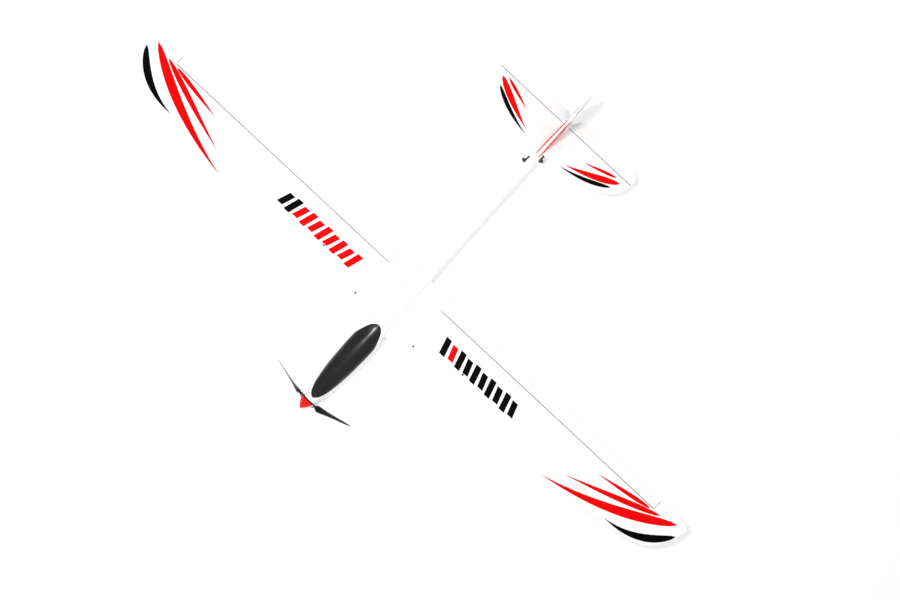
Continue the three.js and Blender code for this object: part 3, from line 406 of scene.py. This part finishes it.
def dress_cad_nodes():
    """Gives each CAD node its finish, smooth faces and slightly rounded edges, without touching its shape."""
    slots = {row["node"]: row["material_slot"] for row in frame["record"]["subparts"]}
    for name, node in nodes.items():
        mark_sharp_edges(node.data)
        look = BLADE if name.startswith("prop_blade") else LOOKS[slots[name]]
        node.data.materials.clear()
        node.data.materials.append(look)
        weld = node.modifiers.new("weld", "WELD")
        weld.merge_threshold = 1e-6
        bevel = node.modifiers.new("bevel", "BEVEL")
        bevel.limit_method = "ANGLE"
        bevel.angle_limit = SHARP
        bevel.width = SOFT_EDGES.get(name, SOFT_EDGE)
        bevel.segments = 3 if name in SOFT_EDGES else 1
        bevel.use_clamp_overlap = True
        bevel.harden_normals = False
        weighted = node.modifiers.new("weighted", "WEIGHTED_NORMAL")
        weighted.keep_sharp = True


# ---- films laid on a surface ---------------------------------------------------------------------
FILM = 0.00006  # thickness
LIFT = 0.0002  # above the surface, so that it clears the facets
CHORD_STEP = 0.004
SPAN_STEP = 0.008


def curve_through(points, steps=7):
    """A smooth run through given points, from the first to the last."""
    if len(points) < 3:
        return list(points)
    ends = [tuple(2 * a - b for a, b in zip(points[0], points[1])),
            tuple(2 * a - b for a, b in zip(points[-1], points[-2]))]
    padded = [ends[0], *points, ends[1]]
    run = []
    for before, start, end, after in zip(padded, padded[1:], padded[2:], padded[3:]):
        for i in range(steps):
            t = i / steps
            run.append(tuple(
                0.5 * (2 * b + (c - a) * t + (2 * a - 5 * b + 4 * c - d) * t * t
                       + (3 * b - a - 3 * c + d) * t ** 3)
                for a, b, c, d in zip(before, start, end, after)))
    run.append(points[-1])
    return run


def outline(*strokes):
    """A closed outline of smooth strokes that meet in sharp corners."""
    run = []
    for stroke in strokes:
        run += curve_through(stroke)[:-1]
    return run


def surface_of(*names):
    points, faces = [], []
    for name in names:
        mesh = nodes[name].data
        first = len(points)
        points += [v.co.copy() for v in mesh.vertices]
        faces += [[first + v for v in p.vertices] for p in mesh.polygons]
    return BVHTree.FromPolygons(points, faces)


def lay_film(name, loops, to_row, direction, targets, look):
    """Cuts a film to the outline in loops, and lays it on the CAD nodes named in targets.
    to_row turns a point of the layout into the row frame, and direction is the way the film is pressed on."""
    flat = [[Vector((x, y, 0)) for x, y in loop] for loop in loops]
    bm = bmesh.new()
    corners = [bm.verts.new(point) for loop in flat for point in loop]
    for triangle in tessellate_polygon(flat):
        bm.faces.new([corners[i] for i in triangle])
    for axis, step in enumerate((SPAN_STEP, CHORD_STEP)):
        places = [v.co[axis] * MM for v in bm.verts]
        at = math.ceil(min(places) / step) * step
        while at < max(places):
            point, normal = Vector(), Vector()
            point[axis] = at / MM
            normal[axis] = 1
            bmesh.ops.bisect_plane(bm, geom=bm.verts[:] + bm.edges[:] + bm.faces[:], plane_co=point,
                                   plane_no=normal, dist=1e-4)
            at += step
    tree = surface_of(*targets)
    missed = []
    for vertex in bm.verts:
        start = to_row(vertex.co.x, vertex.co.y) - direction * 0.2
        hit = tree.ray_cast(start, direction)
        if hit[0] is None:
            missed.append(vertex)
        else:
            vertex.co = hit[0] - direction * LIFT
    bmesh.ops.delete(bm, geom=missed, context="VERTS")
    bmesh.ops.recalc_face_normals(bm, faces=bm.faces[:])
    bm.normal_update()
    if sum((f.normal.dot(direction) for f in bm.faces), 0.0) > 0:
        bmesh.ops.reverse_faces(bm, faces=bm.faces[:])
    mesh = bpy.data.meshes.new(name)
    bm.to_mesh(mesh)
    bm.free()
    mesh.polygons.foreach_set("use_smooth", [True] * len(mesh.polygons))
    mesh.materials.append(look)
    film = make_object(name, mesh)
    solid = film.modifiers.new("thickness", "SOLIDIFY")
    solid.thickness = FILM
    solid.offset = 1
    return film


DOWN = Vector((0, 0, -1))
SIDES = {"left": 1, "right": -1}


def on_top(side):
    return lambda span, station: Vector((side * span * MM, station_y(station), 0.15))


SWEEP_STEPS = 18
FULLEST = 0.6  # a sweep is widest where this power of its run is a half


def sweep(root, tip, bow, width):
    """A plain stripe with two sharp ends, whose middle stands forward of the straight line by its bow."""
    (x0, y0), (x1, y1) = root, tip
    length = math.hypot(x1 - x0, y1 - y0)
    forward = ((y1 - y0) / length, (x0 - x1) / length)
    edges = []
    for half in (width / 2, -width / 2):
        edge = []
        for i in range(SWEEP_STEPS + 1):
            t = i / SWEEP_STEPS
            off = 4 * bow * t * (1 - t) + half * math.sin(math.pi * t ** FULLEST)
            edge.append((x0 + (x1 - x0) * t + forward[0] * off, y0 + (y1 - y0) * t + forward[1] * off))
        edges.append(edge)
    return [edges[0][:-1] + edges[1][:0:-1]]


WING_SWEEPS = [  # root, tip, bow and width
    sweep((975, -14), (606, 142), 20, 26),
    sweep((925, 0), (650, 98), 2, 16),
    sweep((890, 4), (715, 34), 0, 12),
]
WING_ARC = sweep((990, 14), (812, 110), 26, 22)
TAIL_SWEEPS = [
    sweep((222, -596), (72, -530), 4, 18),
    sweep((204, -603), (104, -570), 0, 9),
]
TAIL_ARC = sweep((210, -572), (60, -518), 8, 12)


def bar(outer, width, low, high, slant):
    """A slanted bar between two stations."""
    return [[(outer, low), (outer - width, low), (outer - width - slant, high), (outer - slant, high)]]


BAR_ROWS = {  # of each side's row: where it starts, how many bars it has, and which of them are dark
    "right": (428, 10, {0, 1}),
    "left": (430, 10, {0, 1, 2, 3, 4, 5, 6, 7, 9}),
}
BAR_WIDTH = 19
BAR_PITCH = 28
BAR_SLANT = -14
BAR_STATIONS = ((44, 84), (40, 88))  # the shorter and the taller bars' ends, which take turns


def wing_bars(side):
    """A row of plain slanted bars on the inner wing, in two colours and two heights."""
    outer, count, dark = BAR_ROWS[side]
    for i in range(count):
        low, high = BAR_STATIONS[i % 2]
        shape = bar(outer - i * BAR_PITCH, BAR_WIDTH, low, high, BAR_SLANT)
        yield f"wing_bar_{side}_{i + 1}", shape, BLACK_FILM if i in dark else RED_FILM


def fin_panel():
    """A plain swept panel on the fin's sides, laid out as (height, station)."""
    return [outline(
        [(89, -497), (124, -521), (164, -546), (206, -570), (256, -597)],
        [(256, -597), (89, -602)],
        [(89, -602), (89, -497)],
    )]


def rudder_panel():
    """A plain panel on the rudder's sides, laid out as (height, station)."""
    return [outline(
        [(66, -616), (266, -619)],
        [(266, -619), (262, -662), (226, -692), (160, -694), (100, -680), (66, -616)],
    )]


def lay_all_films():
    for name, side in SIDES.items():
        wing = [f"wing_{name}"]
        tail = ["stabilizer"]
        jobs = [(f"wing_sweep_{name}_{i + 1}", shape, RED_FILM, wing) for i, shape in enumerate(WING_SWEEPS)]
        jobs += [(f"tail_sweep_{name}_{i + 1}", shape, RED_FILM, tail) for i, shape in enumerate(TAIL_SWEEPS)]
        jobs += [(f"wing_arc_{name}", WING_ARC, BLACK_FILM, wing)]
        jobs += [(f"tail_arc_{name}", TAIL_ARC, BLACK_FILM, tail)]
        jobs += [(label, shape, look, wing) for label, shape, look in wing_bars(name)]
        for label, shape, look, targets in jobs:
            film = lay_film(label, shape, on_top(side), DOWN, targets, look)
            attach(film, "airframe")

        inward = Vector((-side, 0, 0))
        beside = lambda height, station, side=side: Vector((side * 0.1, station_y(station), height * MM))
        upright = [(f"fin_panel_{name}", fin_panel(), RED_FILM, "fin", "airframe"),
                   (f"rudder_panel_{name}", rudder_panel(), BLACK_FILM, "rudder", "rudder")]
        for label, shape, look, target, body in upright:
            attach(lay_film(label, shape, beside, inward, [target], look), body)


# ---- painted shade in the hinge gaps -------------------------------------------------------------
GAP_SHADE_DEPTH = 0.0012  # below the surface beside the gap
GAP_SHADE_THICKNESS = 0.0003
GAP_DEPTH = 0.003  # of a break in the surface that counts as a gap
PROBE = 0.00015  # between the rays that look for a gap
PROBES = 90


def find_gap(tree, start, along):
    """The middle and the width of the first deep break in the surface under a line, seen from above."""
    places = [start + along * (PROBE * i) for i in range(PROBES)]
    hits = [tree.ray_cast(place, DOWN)[0] for place in places]
    heights = [hit.z if hit else FLOOR_HEIGHT for hit in hits]
    first = 1
    while first < PROBES and heights[first] > heights[first - 1] - GAP_DEPTH:
        first += 1
    if first == PROBES:
        return None
    edge = heights[first - 1]
    last = first
    while last + 1 < PROBES and heights[last + 1] < edge - GAP_DEPTH:
        last += 1
    middle = (places[first] + places[last]) / 2
    return Vector((middle.x, middle.y, edge - GAP_SHADE_DEPTH)), PROBE * (last - first + 1)


def lay_gap_shade(name, places, along, targets):
    """A near-black strip along a gap. It is painted shade that stands in for the shadow inside the gap, and it is
    found by looking across the gap at each of the places.
    """
    tree = surface_of(*targets)
    found = [gap for gap in (find_gap(tree, place, along) for place in places) if gap]
    width = 0.84 * sorted(gap[1] for gap in found)[len(found) // 2]
    points = [middle + along * (width * end) for middle, _ in found for end in (-0.5, 0.5)]
    faces = [(2 * i, 2 * i + 1, 2 * i + 3, 2 * i + 2) for i in range(len(found) - 1)]
    mesh = bpy.data.meshes.new(name)
    mesh.from_pydata(points, [], faces)
    mesh.materials.append(GAP_SHADE)
    gap_shade = make_object(name, mesh)
    solid = gap_shade.modifiers.new("thickness", "SOLIDIFY")
    solid.thickness = GAP_SHADE_THICKNESS
    solid.offset = 0
    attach(gap_shade, "airframe")


def spread(first, last, count):
    """Evenly spread values, from the first to the last."""
    return [first + (last - first) * i / (count - 1) for i in range(count)]


AILERON_SPANS = spread(101, 897, 43)
AILERON_END_STATIONS = spread(-6, -28, 12)
ELEVATOR_SPANS = spread(14, 246, 25)
SEARCH_FROM = {"aileron": 6, "aileron_end": 895, "elevator": -604}  # a little before each gap


# Painted shade: near-black strips laid in the aileron, aileron-end and elevator hinge gaps, standing in for the
# shadow inside them.
def lay_all_gap_shades():
    behind = Vector((0, 1, 0))
    for name, side in SIDES.items():
        above = on_top(side)
        wing = [f"wing_{name}", f"aileron_{name}"]
        lay_gap_shade(f"aileron_gap_shade_{name}", [above(span, SEARCH_FROM["aileron"]) for span in AILERON_SPANS],
                 behind, wing)
        lay_gap_shade(f"aileron_end_gap_shade_{name}",
                 [above(SEARCH_FROM["aileron_end"], station) for station in AILERON_END_STATIONS],
                 Vector((side, 0, 0)), wing)
        lay_gap_shade(f"elevator_gap_shade_{name}", [above(span, SEARCH_FROM["elevator"]) for span in ELEVATOR_SPANS],
                 behind, ["stabilizer", "elevator"])


# ---- surroundings --------------------------------------------------------------------------------
def make_floor():
    size = 30
    mesh = bpy.data.meshes.new("floor")
    bm = bmesh.new()
    bmesh.ops.create_grid(bm, x_segments=8, y_segments=8, size=size / 2)
    bm.to_mesh(mesh)
    bm.free()
    mesh.materials.append(floor_look())
    floor = make_object("floor", mesh)
    floor.location.z = FLOOR_HEIGHT - 0.0005


def make_light(name, place, aim, size, watts):
    data = bpy.data.lights.new(name, "AREA")
    data.shape = "DISK"
    data.size = size
    data.energy = watts
    light = bpy.data.objects.new(name, data)
    bpy.context.scene.collection.objects.link(light)
    light.location = place
    light.rotation_euler = (Vector(aim) - Vector(place)).to_track_quat("-Z", "Y").to_euler()


def make_lights():
    """Soft boxes overhead: one to the right of the camera and one beside it, and a weak even dome."""
    world = bpy.data.worlds.new("studio")
    world.use_nodes = True
    world.node_tree.nodes["Background"].inputs["Color"].default_value = (1, 1, 1, 1)
    world.node_tree.nodes["Background"].inputs["Strength"].default_value = 0.62
    bpy.context.scene.world = world
    make_light("key", (-0.5, -0.15, 3.3), (-0.05, 0, 0.05), 0.3, 40)
    make_light("fill", (0.1, -0.1, 3.5), (0, 0, 0.05), 0.9, 24)


make_camera()
make_floor()
make_lights()
dress_cad_nodes()
lay_all_films()
lay_all_gap_shades()
bpy.context.scene.view_settings.view_transform = "Standard"
